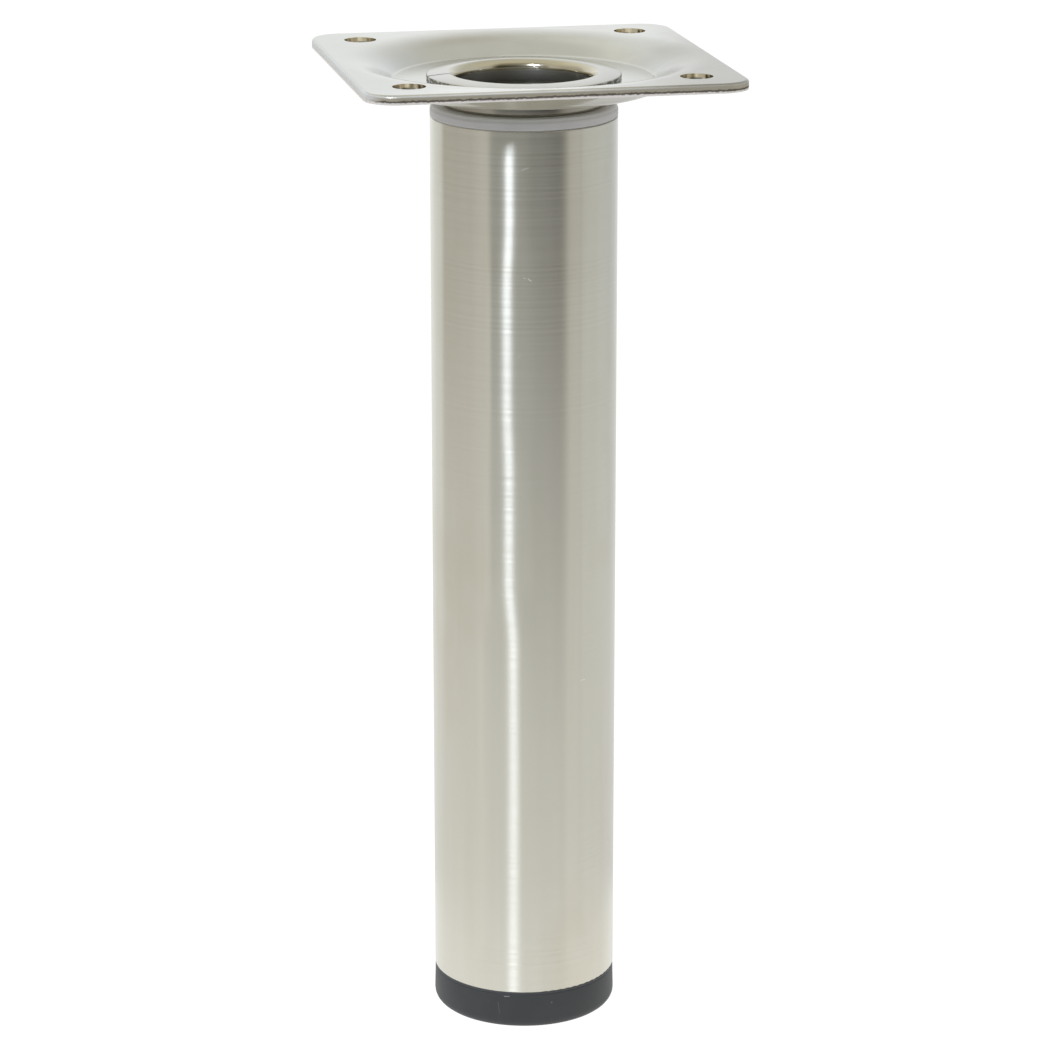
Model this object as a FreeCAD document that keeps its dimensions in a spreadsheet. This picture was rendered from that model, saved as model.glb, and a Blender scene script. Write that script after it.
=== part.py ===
import FreeCAD
import Part

import math
import os
import re

import Sketcher

# Height adjustable table leg: a pressed square plate with a flared threaded sleeve, a round tube
# that screws onto the sleeve through a plastic bush, and a plastic foot that screws in and out of
# the tube's lower end. Millimetres, +Z up, origin on the leg's axis at the floor.

SIZES = {
    # pressed mounting plate
    "plate_side": 60.0,
    "plate_sheet": 1.5,
    "plate_corner_radius": 5.0,
    "plate_edge_round": 0.5,
    "screw_hole_diameter": 5.2,
    "screw_hole_spacing": 45.0,
    "screw_hole_count": 4,
    # dish in the plate: a wide bell mouth that runs down to a fold and a flat floor; its two bends
    # take this share of the slanting wall between them
    "dish_depth": 3.2,
    "dish_margin": 5.1,
    "dish_wall_run": 4.0,
    "dish_fold_radius": 1.0,
    "dish_bend_share": 0.9,
    # rolled sleeve, flared over the dish floor, its flare a little higher at the mouth
    "sleeve_sheet": 0.8,
    "sleeve_bend_radius": 0.7,
    "sleeve_flange_width": 3.8,
    "sleeve_flange_rise": 0.4,
    "sleeve_bead_width": 1.45,
    "sleeve_bead_height": 2.6,
    "sleeve_bead_round": 0.5,
    "sleeve_shank_length": 22.0,
    "sleeve_seam_width": 0.3,
    "sleeve_plate_clearance": 0.1,
    # round tube
    "tube_diameter": 30.0,
    "tube_wall": 1.0,
    "tube_length": 144.4,
    "tube_edge_round": 0.2,
    # plastic bushes in the two ends of the tube
    "bush_tube_clearance": 0.05,
    "bush_rib_height": 0.35,
    "bush_rib_width": 1.6,
    "bush_rib_count": 8,
    "bush_lead": 0.6,
    "thread_clearance": 0.1,
    "top_bush_wall": 2.15,
    "top_bush_depth": 24.0,
    "collar_height": 1.8,
    "collar_round": 0.8,
    "bottom_bush_wall": 3.85,
    "bottom_bush_depth": 22.0,
    "bottom_flange_height": 0.4,
    "bottom_flange_inset": 0.05,
    "bottom_flange_round": 0.1,
    # moulded foot with its threaded stem
    "foot_height": 6.1,
    "foot_overhang": 0.1,
    "foot_taper": 0.15,
    "foot_bottom_round": 1.8,
    "foot_top_round": 0.1,
    "foot_floor": 3.5,
    "stem_length": 20.0,
    "stem_wall": 4.0,
    "stem_lead": 0.8,
}

# Radii that follow from the tube, worked inwards from its bore to each thread.
TUBE_OUTSIDE = "(tube_diameter / 2)"
TUBE_INSIDE = f"({TUBE_OUTSIDE} - tube_wall)"
RIB_CREST = f"({TUBE_INSIDE} - bush_tube_clearance)"
BUSH_PLUG = f"({RIB_CREST} - bush_rib_height)"
TOP_BUSH_BORE = f"({RIB_CREST} - top_bush_wall)"
SLEEVE_OUTSIDE = f"({TOP_BUSH_BORE} - thread_clearance)"
SLEEVE_INSIDE = f"({SLEEVE_OUTSIDE} - sleeve_sheet)"
SLEEVE_FLANGE = f"({SLEEVE_OUTSIDE} + sleeve_flange_width)"
SLEEVE_BEAD = f"({SLEEVE_OUTSIDE} + sleeve_bead_width)"
BOTTOM_BUSH_BORE = f"({RIB_CREST} - bottom_bush_wall)"
STEM_OUTSIDE = f"({BOTTOM_BUSH_BORE} - thread_clearance)"

# Radii of the plate's dish, worked inwards from the plate's side.
DISH_RIM = "(plate_side / 2 - dish_margin)"
DISH_FLOOR = f"({DISH_RIM} - dish_wall_run)"
PLATE_BLANK = "plate_side"
PLATE_HOLE = f"({SLEEVE_OUTSIDE} + sleeve_plate_clearance)"

# The dish's wall: its slanting length, the tangent of half its slope, and the bell mouth's radius.
DISH_WALL = "sqrt(dish_wall_run ^ 2 + dish_depth ^ 2)"
HALF_SLOPE = f"(dish_depth / ({DISH_WALL} + dish_wall_run))"
BELL_MOUTH = f"(dish_bend_share * {DISH_WALL} / {HALF_SLOPE} - dish_fold_radius)"

# Heights of the stack above the floor, each built on the one below.
TUBE_BOTTOM = "(foot_height + bottom_flange_height)"
TUBE_TOP = f"({TUBE_BOTTOM} + tube_length)"
COLLAR_TOP = f"({TUBE_TOP} + collar_height)"
DISH_UNDERSIDE = f"({COLLAR_TOP} + sleeve_bead_height)"

UPWARD = FreeCAD.Vector(0, 0, 1)
CENTRE = FreeCAD.Vector(0, 0, 0)
TOLERANCE = 1e-6

doc = FreeCAD.newDocument("table_leg")


def fill_sheet():
    """Write every size into a spreadsheet cell with its own alias."""
    sheet = doc.addObject("Spreadsheet::Sheet", "sizes")
    for row, (alias, number) in enumerate(SIZES.items(), start=1):
        sheet.set(f"A{row}", alias.replace("_", " "))
        sheet.set(f"B{row}", str(number))
        sheet.setAlias(f"B{row}", alias)
    doc.recompute()


def cells(formula):
    """Turn the size names in a formula into references to the sheet's cells."""
    return re.sub(r"[a-z_]+", lambda word: f"sizes.{word[0]}" if word[0] in SIZES else word[0], formula)


def bind(thing, prop, formula):
    """Bind one property of a document object to a formula of sizes."""
    thing.setExpression(prop, cells(formula))


def origin_feature(body, role):
    """Find one of the body's own origin planes or axes."""
    return next(item for item in body.Origin.OriginFeatures if item.Role == role)


def new_body(label, height="0"):
    """Start a sub-part whose own zero lies at a height above the floor."""
    body = doc.addObject("PartDesign::Body", label)
    body.Label = label
    bind(body, "Placement.Base.z", height)
    return body


def new_sketch(body, name, role):
    """Start a sketch on one of the body's own origin planes."""
    sketch = body.newObject("Sketcher::SketchObject", name)
    sketch.AttachmentSupport = [(origin_feature(body, role), "")]
    sketch.MapMode = "FlatFace"
    return sketch


def drawn_size(sketch, kind, where):
    """Measure a dimension as the sketch is drawn so far."""
    if kind in ("DistanceX", "DistanceY"):
        span = sketch.getPoint(*where[2:]) - sketch.getPoint(*where[:2])
        return span.x if kind == "DistanceX" else span.y
    radius = sketch.Geometry[where[0]].Radius
    return 2 * radius if kind == "Diameter" else radius


def dimension(sketch, name, kind, where, formula):
    """Add one named dimension at its drawn size, then bind it to a formula of sizes."""
    drawn = drawn_size(sketch, kind, where)
    index = sketch.addConstraint(Sketcher.Constraint(kind, *where, drawn))
    sketch.renameConstraint(index, name)
    bind(sketch, f"Constraints.{name}", formula)


def relate(sketch, kind, *where):
    """Add one geometric constraint."""
    sketch.addConstraint(Sketcher.Constraint(kind, *where))


def pin(sketch, name, line, across, up):
    """Fix the start of a line at two formulas; a leading minus puts it on the far side."""
    for kind, suffix, formula, axis in (("DistanceX", "across", across, -2), ("DistanceY", "up", up, -1)):
        if formula == "0":
            relate(sketch, "PointOnObject", line, 1, axis)
        elif formula.startswith("-"):
            dimension(sketch, f"{name}_{suffix}", kind, (line, 1, -1, 1), formula[1:])
        else:
            dimension(sketch, f"{name}_{suffix}", kind, (-1, 1, line, 1), formula)


def draw_outline(sketch, corners):
    """Draw a closed outline of straight lines through named corners, each at two formulas."""
    count = len(corners)
    step = FreeCAD.Rotation(UPWARD, 360 / count)
    rough = [FreeCAD.Vector(SIZES["tube_diameter"], 0, 0)]
    while len(rough) < count:
        rough.append(step.multVec(rough[-1]))
    for index in range(count):
        sketch.addGeometry(Part.LineSegment(rough[index], rough[(index + 1) % count]))
    for index, (name, across, up) in enumerate(corners):
        relate(sketch, "Coincident", (index - 1) % count, 2, index, 1)
        pin(sketch, name, index, across, up)
    doc.recompute()
    return {name: index for index, (name, _, _) in enumerate(corners)}


def draw_ring(sketch, name, radius):
    """Draw a circle about the leg's axis."""
    ring = sketch.addGeometry(Part.Circle(CENTRE, UPWARD, SIZES["tube_diameter"]))
    relate(sketch, "Coincident", ring, 3, -1, 1)
    dimension(sketch, f"{name}_radius", "Radius", (ring,), radius)
    doc.recompute()


def revolve(body, sketch, name):
    """Turn a sketched section about the leg's axis."""
    feature = body.newObject("PartDesign::Revolution", name)
    feature.Profile = sketch
    feature.ReferenceAxis = (sketch, ["V_Axis"])
    feature.Angle = 360.0
    doc.recompute()


def pad(body, sketch, name, length):
    """Raise a sketched area by a length."""
    feature = body.newObject("PartDesign::Pad", name)
    feature.Profile = sketch
    bind(feature, "Length", length)
    doc.recompute()
    return feature


def cut_through(body, sketch, name):
    """Cut a sketched area out of the whole height of the body."""
    before = body.Shape.Volume
    feature = body.newObject("PartDesign::Pocket", name)
    feature.Profile = sketch
    feature.Type = "ThroughAll"
    feature.Midplane = True
    doc.recompute()
    if not feature.Shape.Volume < before:
        raise RuntimeError(f"{name} cuts nothing")
    return feature


def repeat_around(body, feature, name, count):
    """Repeat a feature evenly about the leg's axis."""
    pattern = body.newObject("PartDesign::PolarPattern", name)
    pattern.Originals = [feature]
    pattern.Axis = (origin_feature(body, "Z_Axis"), [""])
    pattern.Angle = 360.0
    bind(pattern, "Occurrences", count)
    body.Tip = pattern
    doc.recompute()


def dress(body, kind, name, edges, size):
    """Round or chamfer edges of the body's last feature by a formula of sizes."""
    if not edges:
        raise RuntimeError(f"{name} has no edges")
    base = body.Tip
    feature = body.newObject(f"PartDesign::{kind}", name)
    feature.Base = (base, edges)
    bind(feature, "Radius" if kind == "Fillet" else "Size", size)
    doc.recompute()


def ring_edges(shape, radius, height):
    """Name the circular edges about the axis that have a radius and a height."""
    names = []
    for number, edge in enumerate(shape.Edges, start=1):
        if isinstance(edge.Curve, Part.Circle):
            off_axis = math.hypot(edge.Curve.Center.x, edge.Curve.Center.y)
            misfit = (off_axis, edge.Curve.Radius - radius, edge.Curve.Center.z - height)
            if max(abs(part) for part in misfit) < TOLERANCE:
                names.append(f"Edge{number}")
    return names


def dress_ring(body, sketch, curve, end, kind, name, size):
    """Round or chamfer the ring that one corner of a turned section leaves."""
    corner = sketch.getPoint(curve, end)
    dress(body, kind, name, ring_edges(body.Tip.Shape, corner.x, corner.y), size)


def dress_corners(body, sketch, corners, jobs):
    """Round or chamfer several named corners of a turned section."""
    for corner, kind, size in jobs:
        dress_ring(body, sketch, corners[corner], 1, kind, f"{corner}_{kind.lower()}", size)


def corner_edges(shape, half_side):
    """Name the upright edges at the four corners of the trimmed plate."""
    names = []
    for number, edge in enumerate(shape.Edges, start=1):
        box = edge.BoundBox
        upright = max(box.XLength, box.YLength) < TOLERANCE
        if upright and min(abs(box.Center.x), abs(box.Center.y)) > half_side - TOLERANCE:
            names.append(f"Edge{number}")
    return names


def upper_outline(shape, half_side, level):
    """Name the edges above a level that bound the upright faces round the plate's outside."""
    sides = []
    for face in shape.Faces:
        lean = face.normalAt(*face.Surface.parameter(face.CenterOfMass)).z
        outside = math.hypot(face.CenterOfMass.x, face.CenterOfMass.y) > half_side / 2
        if abs(lean) < TOLERANCE and outside:
            sides.append(face)
    names = []
    for number, edge in enumerate(shape.Edges, start=1):
        bounds_side = any(edge.isSame(other) for face in sides for other in face.Edges)
        if bounds_side and edge.BoundBox.ZMin > level:
            names.append(f"Edge{number}")
    return names


def make_plate():
    """Press the square plate: turn its dished section, trim it square and pierce the holes."""
    body = new_body("mounting_plate", DISH_UNDERSIDE)
    section = new_sketch(body, "dish_section", "XZ_Plane")
    lean = f"plate_sheet * {HALF_SLOPE}"
    land = "(dish_depth + plate_sheet)"
    corners = draw_outline(section, (
        ("hole_bottom", PLATE_HOLE, "0"),
        ("fold_under", f"{DISH_FLOOR} + {lean}", "0"),
        ("bell_under", f"{DISH_RIM} + {lean}", "dish_depth"),
        ("blank_bottom", PLATE_BLANK, "dish_depth"),
        ("blank_top", PLATE_BLANK, land),
        ("bell_top", DISH_RIM, land),
        ("fold_top", DISH_FLOOR, "plate_sheet"),
        ("hole_lip", PLATE_HOLE, "plate_sheet"),
    ))
    revolve(body, section, "dished_blank")
    dress_corners(body, section, corners, (
        ("fold_top", "Fillet", "dish_fold_radius"),
        ("fold_under", "Fillet", "dish_fold_radius + plate_sheet"),
        ("bell_top", "Fillet", BELL_MOUTH),
        ("bell_under", "Fillet", f"{BELL_MOUTH} - plate_sheet"),
        ("hole_lip", "Fillet", "sleeve_bend_radius + sleeve_plate_clearance"),
    ))

    trim = new_sketch(body, "square_trim", "XY_Plane")
    half = "plate_side / 2"
    draw_outline(trim, (
        ("left_front", f"-{half}", f"-{half}"),
        ("right_front", half, f"-{half}"),
        ("right_back", half, half),
        ("left_back", f"-{half}", half),
    ))
    draw_ring(trim, "waste", f"2 * {PLATE_BLANK}")
    cut_through(body, trim, "trimmed_square")
    half_side = SIZES["plate_side"] / 2
    dress(body, "Fillet", "plate_corners", corner_edges(body.Tip.Shape, half_side), "plate_corner_radius")
    mid_sheet = SIZES["dish_depth"] + SIZES["plate_sheet"] / 2
    rolled = upper_outline(body.Tip.Shape, half_side, mid_sheet)
    dress(body, "Fillet", "rolled_top_edge", rolled, "plate_edge_round")

    hole = new_sketch(body, "screw_hole_sketch", "XY_Plane")
    spread = half_side / 2
    circle = hole.addGeometry(Part.Circle(FreeCAD.Vector(spread, spread, 0), UPWARD, SIZES["plate_sheet"]))
    dimension(hole, "hole_diameter", "Diameter", (circle,), "screw_hole_diameter")
    dimension(hole, "hole_across", "DistanceX", (-1, 1, circle, 3), "screw_hole_spacing / 2")
    dimension(hole, "hole_up", "DistanceY", (-1, 1, circle, 3), "screw_hole_spacing / 2")
    doc.recompute()
    repeat_around(body, cut_through(body, hole, "screw_hole"), "screw_holes", "screw_hole_count")
    return body


def make_sleeve():
    """Turn the sleeve with its folded bead, cut its seam and bend its flare."""
    body = new_body("threaded_sleeve", f"{COLLAR_TOP} - sleeve_shank_length")
    section = new_sketch(body, "sleeve_section", "XZ_Plane")
    bead_bottom = "sleeve_shank_length"
    bead_top = f"({bead_bottom} + sleeve_bead_height)"
    flange_bottom = f"({bead_top} + plate_sheet)"
    flange_top = f"({flange_bottom} + sleeve_sheet)"
    fold_bottom = f"({bead_bottom} + sleeve_sheet)"
    fold_top = f"({bead_top} - sleeve_sheet)"
    fold_end = f"({SLEEVE_BEAD} - sleeve_sheet)"
    corners = draw_outline(section, (
        ("shank_end_inside", SLEEVE_INSIDE, "0"),
        ("shank_end", SLEEVE_OUTSIDE, "0"),
        ("shank_top", SLEEVE_OUTSIDE, bead_bottom),
        ("bead_bottom", SLEEVE_BEAD, bead_bottom),
        ("bead_top", SLEEVE_BEAD, bead_top),
        ("neck_bottom", SLEEVE_OUTSIDE, bead_top),
        ("neck_bend", SLEEVE_OUTSIDE, f"{flange_bottom} + sleeve_flange_rise"),
        ("flange_bottom", SLEEVE_FLANGE, flange_bottom),
        ("flange_top", SLEEVE_FLANGE, flange_top),
        ("mouth", SLEEVE_INSIDE, f"{flange_top} + sleeve_flange_rise"),
        ("fold_top", SLEEVE_INSIDE, fold_top),
        ("fold_end_top", fold_end, fold_top),
        ("fold_end_bottom", fold_end, fold_bottom),
        ("fold_bottom", SLEEVE_INSIDE, fold_bottom),
    ))
    revolve(body, section, "sleeve_turned")
    dress_corners(body, section, corners, (
        ("bead_bottom", "Fillet", "sleeve_bead_round"),
        ("bead_top", "Fillet", "sleeve_bead_round"),
        ("shank_end", "Chamfer", "sleeve_sheet / 2"),
    ))

    seam = new_sketch(body, "seam_sketch", "XY_Plane")
    draw_outline(seam, (
        ("outer_front", f"-2 * {SLEEVE_FLANGE}", "-sleeve_seam_width / 2"),
        ("axis_front", "0", "-sleeve_seam_width / 2"),
        ("axis_back", "0", "sleeve_seam_width / 2"),
        ("outer_back", f"-2 * {SLEEVE_FLANGE}", "sleeve_seam_width / 2"),
    ))
    cut_through(body, seam, "seam")

    dress_corners(body, section, corners, (
        ("neck_bend", "Fillet", "sleeve_bend_radius"),
        ("mouth", "Fillet", "sleeve_bend_radius + sleeve_sheet"),
    ))
    return body


def add_ribs(body, name, low, high):
    """Stand crush ribs round a bush's plug between two heights."""
    sketch = new_sketch(body, f"{name}_sketch", "XY_Plane")
    half = "bush_rib_width / 2"
    root = f"{BUSH_PLUG} - bush_rib_height"
    crest = f"sqrt({RIB_CREST} ^ 2 - ({half}) ^ 2)"
    draw_outline(sketch, (
        ("root_front", root, f"-{half}"),
        ("crest_front", crest, f"-{half}"),
        ("crest_back", crest, half),
        ("root_back", root, half),
    ))
    bind(sketch, "AttachmentOffset.Base.z", low)
    repeat_around(body, pad(body, sketch, name, f"{high} - {low}"), f"{name}s", "bush_rib_count")


def make_top_bush():
    """Mould the upper bush: a ribbed plug with a round collar over the tube's end."""
    body = new_body("top_bush", f"{TUBE_TOP} - top_bush_depth")
    section = new_sketch(body, "top_bush_section", "XZ_Plane")
    collar_top = "top_bush_depth + collar_height"
    corners = draw_outline(section, (
        ("bore_bottom", TOP_BUSH_BORE, "0"),
        ("plug_bottom", BUSH_PLUG, "0"),
        ("plug_top", BUSH_PLUG, "top_bush_depth"),
        ("collar_bottom", TUBE_OUTSIDE, "top_bush_depth"),
        ("collar_top", TUBE_OUTSIDE, collar_top),
        ("bore_top", TOP_BUSH_BORE, collar_top),
    ))
    revolve(body, section, "top_bush_turned")
    dress_corners(body, section, corners, (
        ("collar_top", "Fillet", "collar_round"),
        ("collar_bottom", "Fillet", "tube_edge_round"),
        ("bore_top", "Chamfer", "bush_lead"),
        ("plug_bottom", "Chamfer", "bush_lead"),
    ))
    add_ribs(body, "top_rib", "2 * bush_lead", "(top_bush_depth - bush_lead)")
    return body


def make_tube():
    """Cut the round tube to length and break its outer edges."""
    body = new_body("leg_tube", TUBE_BOTTOM)
    section = new_sketch(body, "tube_section", "XY_Plane")
    draw_ring(section, "outside", TUBE_OUTSIDE)
    draw_ring(section, "inside", TUBE_INSIDE)
    tube = pad(body, section, "tube_drawn", "tube_length").Shape
    radius = SIZES["tube_diameter"] / 2
    ends = ring_edges(tube, radius, 0) + ring_edges(tube, radius, SIZES["tube_length"])
    dress(body, "Fillet", "tube_edges", ends, "tube_edge_round")
    return body


def make_bottom_bush():
    """Mould the lower bush: a ribbed plug with a thin flange under the tube's end."""
    body = new_body("bottom_bush", "foot_height")
    section = new_sketch(body, "bottom_bush_section", "XZ_Plane")
    flange = f"{TUBE_OUTSIDE} - bottom_flange_inset"
    plug_top = "(bottom_flange_height + bottom_bush_depth)"
    corners = draw_outline(section, (
        ("bore_bottom", BOTTOM_BUSH_BORE, "0"),
        ("flange_bottom", flange, "0"),
        ("flange_top", flange, "bottom_flange_height"),
        ("plug_bottom", BUSH_PLUG, "bottom_flange_height"),
        ("plug_top", BUSH_PLUG, plug_top),
        ("bore_top", BOTTOM_BUSH_BORE, plug_top),
    ))
    revolve(body, section, "bottom_bush_turned")
    dress_corners(body, section, corners, (
        ("flange_bottom", "Fillet", "bottom_flange_round"),
        ("flange_top", "Fillet", "bottom_flange_round"),
        ("bore_bottom", "Chamfer", "bush_lead"),
        ("plug_top", "Chamfer", "bush_lead"),
    ))
    add_ribs(body, "bottom_rib", "(bottom_flange_height + bush_lead)", f"({plug_top} - 2 * bush_lead)")
    return body


def make_foot():
    """Mould the foot: a flared round pad in one piece with a hollow threaded stem."""
    body = new_body("foot")
    section = new_sketch(body, "foot_section", "XZ_Plane")
    pad_outside = f"{TUBE_OUTSIDE} + foot_overhang"
    stem_core = f"{STEM_OUTSIDE} - stem_wall"
    stem_top = "foot_height + stem_length"
    corners = draw_outline(section, (
        ("pad_centre", "0", "0"),
        ("pad_bottom", pad_outside, "0"),
        ("pad_top", f"{pad_outside} - foot_taper", "foot_height"),
        ("stem_bottom", STEM_OUTSIDE, "foot_height"),
        ("stem_top", STEM_OUTSIDE, stem_top),
        ("core_top", stem_core, stem_top),
        ("core_bottom", stem_core, "foot_floor"),
        ("core_centre", "0", "foot_floor"),
    ))
    revolve(body, section, "foot_turned")
    dress_corners(body, section, corners, (
        ("pad_bottom", "Fillet", "foot_bottom_round"),
        ("pad_top", "Fillet", "foot_top_round"),
        ("stem_top", "Chamfer", "stem_lead"),
    ))
    return body


def write_parts(bodies):
    """Check every object and every solid, then write one file for each piece."""
    doc.recompute()
    for item in doc.Objects:
        if "Invalid" in item.State or "Error" in item.State:
            raise RuntimeError(f"{item.Name} failed: {item.State}")
    for body in bodies:
        if body.Shape.isNull() or not body.Shape.isValid() or len(body.Shape.Solids) != 1:
            raise RuntimeError(f"{body.Label} is not one valid solid")
    os.makedirs("parts", exist_ok=True)
    for body in bodies:
        body.Shape.exportStep(f"parts/{body.Label}.step")


fill_sheet()
write_parts((
    make_plate(),
    make_sleeve(),
    make_top_bush(),
    make_tube(),
    make_bottom_bush(),
    make_foot(),
))
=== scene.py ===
"""Looks of a height adjustable table leg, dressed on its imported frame."""

import logging
import math
from collections.abc import Iterable, Mapping, Sequence
from dataclasses import dataclass, field, replace
from enum import Enum
from functools import reduce
from typing import Any

import bmesh
import bpy
from mathutils import Matrix, Vector


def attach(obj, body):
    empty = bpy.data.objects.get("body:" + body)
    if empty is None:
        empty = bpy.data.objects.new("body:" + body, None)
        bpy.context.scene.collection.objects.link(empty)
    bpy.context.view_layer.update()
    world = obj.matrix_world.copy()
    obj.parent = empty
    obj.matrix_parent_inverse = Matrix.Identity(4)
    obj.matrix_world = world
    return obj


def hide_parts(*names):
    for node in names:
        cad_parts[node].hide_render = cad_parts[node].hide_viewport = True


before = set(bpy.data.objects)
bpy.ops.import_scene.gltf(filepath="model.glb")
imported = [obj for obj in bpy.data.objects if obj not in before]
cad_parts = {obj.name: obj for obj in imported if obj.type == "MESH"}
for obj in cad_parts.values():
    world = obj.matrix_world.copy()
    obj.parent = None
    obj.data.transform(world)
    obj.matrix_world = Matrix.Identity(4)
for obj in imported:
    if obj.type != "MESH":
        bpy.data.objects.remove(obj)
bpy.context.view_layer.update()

LOG = logging.getLogger("table_leg")
Colour = tuple[float, float, float, float]
Span = tuple[float, float]
Stops = tuple[tuple[float, Colour], ...]

MM = 0.001
METRE = 1.0
FULL_TURN = 2.0 * math.pi
HALF_CIRCLE = 180.0
QUARTER_CIRCLE = 90.0
ORIGIN = (0.0, 0.0, 0.0)
UPWARDS = (0.0, 0.0, 1.0)
NOISE_MIDDLE = 0.5

# Radii that a finish and its piece share, in millimetres.
TUBE_RADIUS = 15.0
PAD_RADIUS = 15.1


class Body(Enum):
    """Bodies of the frame that new pieces ride on."""

    PLATE = "plate"
    FOOT = "foot"


class Node(Enum):
    """Solids of the frame."""

    PLATE = "mounting_plate"
    SLEEVE = "threaded_sleeve"
    TOP_BUSH = "top_bush"
    TUBE = "leg_tube"
    BOTTOM_BUSH = "bottom_bush"
    FOOT = "foot"


class Slot(Enum):
    """Material slots of the record."""

    PLATED_SLEEVE = "plated_sleeve"
    BLACK_PLASTIC = "black_plastic"


def opaque(red: float, green: float, blue: float) -> Colour:
    """Give a linear colour its alpha."""
    return (red, green, blue, 1.0)


def grey(level: float) -> Colour:
    """Give a colour with equal channels."""
    return opaque(level, level, level)


WHITE = grey(1.0)


def beside(place: float, offsets: Span) -> Span:
    """Shift a span of offsets to a place."""
    return (place + offsets[0], place + offsets[1])


class Value:
    """A shader socket that takes part in Python arithmetic."""

    def __init__(self, graph: "Graph", socket: bpy.types.NodeSocket) -> None:
        """Wrap one output socket of a graph."""
        self.graph = graph
        self.socket = socket

    def __add__(self, other: "Value | float") -> "Value":
        """Add a value or a number."""
        return self.graph.maths("ADD", self, other)

    def __radd__(self, other: float) -> "Value":
        """Add this value to a number."""
        return self.graph.maths("ADD", other, self)

    def __sub__(self, other: "Value | float") -> "Value":
        """Take away a value or a number."""
        return self.graph.maths("SUBTRACT", self, other)

    def __rsub__(self, other: float) -> "Value":
        """Take this value from a number."""
        return self.graph.maths("SUBTRACT", other, self)

    def __mul__(self, other: "Value | float") -> "Value":
        """Multiply by a value or a number."""
        return self.graph.maths("MULTIPLY", self, other)

    def __rmul__(self, other: float) -> "Value":
        """Multiply a number by this value."""
        return self.graph.maths("MULTIPLY", other, self)

    def __truediv__(self, other: "Value | float") -> "Value":
        """Divide by a value or a number."""
        return self.graph.maths("DIVIDE", self, other)

    def __neg__(self) -> "Value":
        """Turn the sign."""
        return self.graph.maths("MULTIPLY", self, -1.0)

    def __abs__(self) -> "Value":
        """Drop the sign."""
        return self.graph.maths("ABSOLUTE", self)

    def most(self, other: "Value | float") -> "Value":
        """Keep the larger of two."""
        return self.graph.maths("MAXIMUM", self, other)

    def least(self, other: "Value | float") -> "Value":
        """Keep the smaller of two."""
        return self.graph.maths("MINIMUM", self, other)

    def root(self) -> "Value":
        """Take the square root."""
        return self.graph.maths("SQRT", self)

    def rise(self, span: Span, unit: float = 1.0) -> "Value":
        """Rise smoothly from 0 to 1 over a span.

        Args:
            span: Where the rise starts and where it ends.
            unit: Size of the span's unit.

        Returns:
            The eased share.
        """
        low, high = span
        settings = {"interpolation_type": "SMOOTHSTEP"}
        sockets = {"Value": self, "From Min": low * unit, "From Max": high * unit}
        return self.graph.value("ShaderNodeMapRange", settings, sockets)

    def fall(self, span: Span, unit: float = 1.0) -> "Value":
        """Fall smoothly from 1 to 0 over a span, given as for a rise."""
        return 1.0 - self.rise(span, unit)

    def split(self) -> tuple["Value", "Value", "Value"]:
        """Give a vector's three coordinates: east, north and up."""
        parts = self.graph.node("ShaderNodeSeparateXYZ", None, {0: self}).outputs
        return (Value(self.graph, parts[0]), Value(self.graph, parts[1]), Value(self.graph, parts[2]))

    def around(self) -> "Value":
        """Give a point's angle round the leg's axis, in radians."""
        east, north, _ = self.split()
        return self.graph.maths("ARCTAN2", north, east)

    def mix(self, low: "Value | Colour", high: "Value | Colour") -> "Value":
        """Blend two colours, all of the first at 0 and all of the second at 1."""
        settings = {"data_type": "RGBA", "clamp_factor": True}
        return self.graph.value("ShaderNodeMix", settings, {0: self, 6: low, 7: high}, 2)

    def bump(self, distance: float, strength: float = 1.0, under: "Value | None" = None) -> "Value":
        """Raise the surface by this height pattern.

        Args:
            distance: Height of a step of 1 in it, in metres.
            strength: How much of it shows.
            under: The normal that it is laid on, if another pattern lies below.

        Returns:
            The changed normal.
        """
        sockets: dict[str | int, Any] = {"Height": self, "Strength": strength, "Distance": distance}
        if under is not None:
            sockets["Normal"] = under
        return self.graph.value("ShaderNodeBump", None, sockets, "Normal")

    def sway(self, weight: float) -> "Value":
        """Weigh how far a noise departs from its middle."""
        return (self - NOISE_MIDDLE) * weight

    def raised(self, least: float) -> "Value":
        """Squeeze a share from 0 to 1 into one from a least share to 1."""
        return least + (1.0 - least) * self


def length(east: Value, north: Value) -> Value:
    """Give the length of a flat vector."""
    return (east * east + north * north).root()


def strongest(marks: Iterable[Value]) -> Value:
    """Keep the largest of several values."""
    return reduce(Value.most, marks)


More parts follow.
